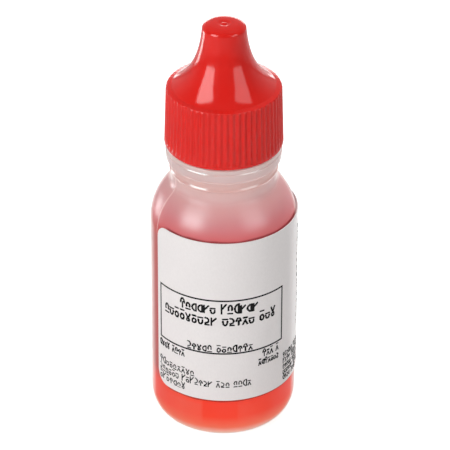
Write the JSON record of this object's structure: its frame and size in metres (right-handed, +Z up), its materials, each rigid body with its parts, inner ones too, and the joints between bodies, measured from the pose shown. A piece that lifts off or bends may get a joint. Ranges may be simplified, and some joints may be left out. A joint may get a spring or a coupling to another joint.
{
  "type": "dropper bottle",
  "caption": "Translucent squeeze dropper bottle of indicator solution with a press-fit dropper tip, a wrap-round label and a ribbed screw cap with a concave spire.",
  "frame": {"origin": "centre of the base, on the plane the bottle stands on", "axes": "+Z up along the bottle's axis; -Y out of the front of the label; +X to the right of someone reading the label"},
  "size_m": [0.0312, 0.0314, 0.0939],
  "materials": {
    "milky_polyethylene": "translucent natural LDPE, satin gloss",
    "orange_red_liquid": "clear orange-red water-thin solution; gloss_plastic stands in for a liquid",
    "label_stock": "white self-adhesive stock, semi-matt, black print",
    "tip_polyethylene": "translucent natural LDPE",
    "seal_polyethylene": "soft white polyethylene",
    "red_polypropylene": "moulded gloss red polypropylene"
  },
  "bodies": {
    "bottle_body": {"bottle": "milky_polyethylene", "indicator_solution": "orange_red_liquid", "label": "label_stock", "dropper_tip": "tip_polyethylene"},
    "seal_carrier": {"tip_seal": "seal_polyethylene"},
    "cap_body": {"screw_cap": "red_polypropylene"}
  },
  "joints": [
    {"name": "cap_rise", "type": "slide", "parent": "bottle_body", "child": "seal_carrier", "axis": [0, 0, 1], "range_m": [0, 0.00477]},
    {"name": "cap_turn", "type": "hinge", "parent": "seal_carrier", "child": "cap_body", "pos_m": [0, 0, 0.0658], "axis": [0, 0, 1], "range_deg": [0, 540]}
  ],
  "couplings": [
    {"joint": "cap_rise", "follows": "cap_turn", "m_per_rad": 0.00050532}
  ]
}
